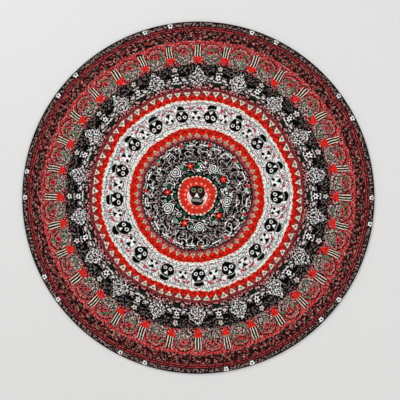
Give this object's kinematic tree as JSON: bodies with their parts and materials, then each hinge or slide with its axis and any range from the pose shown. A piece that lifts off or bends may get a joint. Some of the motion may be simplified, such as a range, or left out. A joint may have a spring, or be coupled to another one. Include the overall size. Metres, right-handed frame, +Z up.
{
  "type": "round tapestry wall hanging",
  "caption": "Round printed cloth wall hanging, kept flat by a jointed hoop in its faced rim, with swinging hanging rings behind.",
  "frame": {"origin": "centre of the disc, on the plane where the cloth, the facing and the hoop meet", "axes": "+Z up as it hangs, -Y the printed front, +Y towards the wall, +X to the viewer's right"},
  "size_m": [1.4999, 0.0092, 1.5],
  "materials": {
    "printed_cloth": "plain weave polyester, printed on the front, paler behind",
    "facing_cotton": "black cotton twill tape",
    "dark_thread": "spun polyester thread",
    "pale_thread": "spun polyester thread",
    "grey_thread": "spun polyester thread",
    "fibreglass": "pultruded fibreglass rod",
    "ferrule_brass": "drawn tube",
    "webbing": "woven cotton webbing",
    "ring_steel": "nickel-plated steel wire",
    "label_satin": "satin ribbon, blank"
  },
  "bodies": {
    "root": {"face_cloth": "printed_cloth", "rim_facing": "facing_cotton", "channel_stitching": "dark_thread", "facing_edge_stitching": "dark_thread", "hoop_rod_top": "fibreglass", "hoop_rod_right": "fibreglass", "hoop_rod_bottom": "fibreglass", "hoop_rod_left": "fibreglass", "ferrule_upper_right": "ferrule_brass", "ferrule_lower_right": "ferrule_brass", "ferrule_lower_left": "ferrule_brass", "ferrule_upper_left": "ferrule_brass", "hanging_tab_right": "webbing", "hanging_tab_left": "webbing", "tab_stitching_right": "pale_thread", "tab_stitching_left": "pale_thread", "care_label": "label_satin", "label_stitching": "grey_thread"},
    "right_ring": {"d_ring_right": "ring_steel"},
    "left_ring": {"d_ring_left": "ring_steel"}
  },
  "joints": [
    {"name": "right_ring_swing", "type": "hinge", "parent": "root", "child": "right_ring", "pos_m": [0.24536, 0.0025, 0.67414], "axis": [-1, 0, 0], "range_deg": [0, 174]},
    {"name": "left_ring_swing", "type": "hinge", "parent": "root", "child": "left_ring", "pos_m": [-0.24536, 0.0025, 0.67414], "axis": [-1, 0, 0], "range_deg": [0, 174]}
  ]
}
